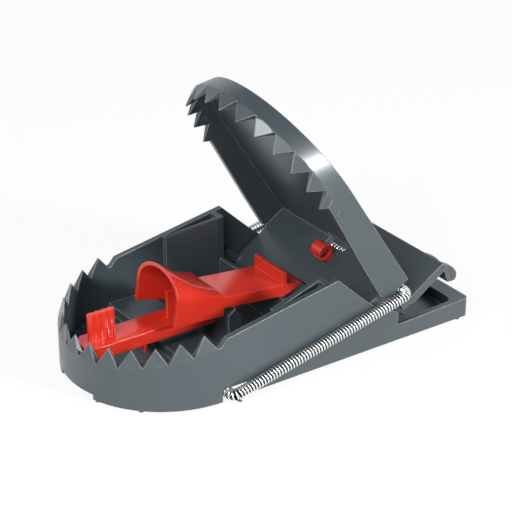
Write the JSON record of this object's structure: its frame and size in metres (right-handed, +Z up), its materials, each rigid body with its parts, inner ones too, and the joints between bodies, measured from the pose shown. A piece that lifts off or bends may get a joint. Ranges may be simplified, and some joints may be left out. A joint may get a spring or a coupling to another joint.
{
  "type": "mouse trap",
  "caption": "Moulded jaw trap for mice, set open: toothed base, sprung toothed jaw with lever plate, red see-saw pedal with arched cowl, and a tension spring along both sides.",
  "frame": {"origin": "on the floor under the middle of the base", "axes": "+Z up, -Y towards the toothed nose, +Y towards the rear tray, +X to the right of a viewer in front of the nose who looks along +Y"},
  "size_m": [0.0578, 0.1, 0.0664],
  "materials": {
    "base_plastic": "moulded dark grey plastic, satin to gloss",
    "jaw_plastic": "moulded dark grey plastic, satin to gloss",
    "red_plastic": "moulded red plastic, gloss",
    "spring_steel": "bright zinc-plated spring wire"
  },
  "bodies": {
    "base_body": {"base": "base_plastic", "spring_front": "spring_steel"},
    "jaw": {"upper_jaw": "jaw_plastic", "catch_clip": "red_plastic", "spring_bridge": "spring_steel"},
    "pedal": {"trigger_pedal": "red_plastic", "bait_bar": "red_plastic"},
    "springs": {"spring_left": "spring_steel", "spring_right": "spring_steel"}
  },
  "joints": [
    {"name": "jaw_hinge", "type": "hinge", "parent": "base_body", "child": "jaw", "pos_m": [0, 0.0086, 0.0089], "axis": [1, 0, 0], "range_deg": [0, 64], "deforming": ["spring_left", "spring_right"]},
    {"name": "pedal_press", "type": "hinge", "parent": "base_body", "child": "pedal", "pos_m": [0, -0.0082, 0.0121], "axis": [1, 0, 0], "range_deg": [0, 7.5]},
    {"name": "spring_swing", "type": "hinge", "parent": "base_body", "child": "springs", "pos_m": [0, -0.0212, 0.0021], "axis": [1, 0, 0], "range_deg": [0, 24.8]}
  ],
  "couplings": [
    {"joint": "pedal_press", "follows": "jaw_hinge", "ratio": 0.117},
    {"joint": "spring_swing", "follows": "jaw_hinge", "ratio": 0.3875}
  ]
}
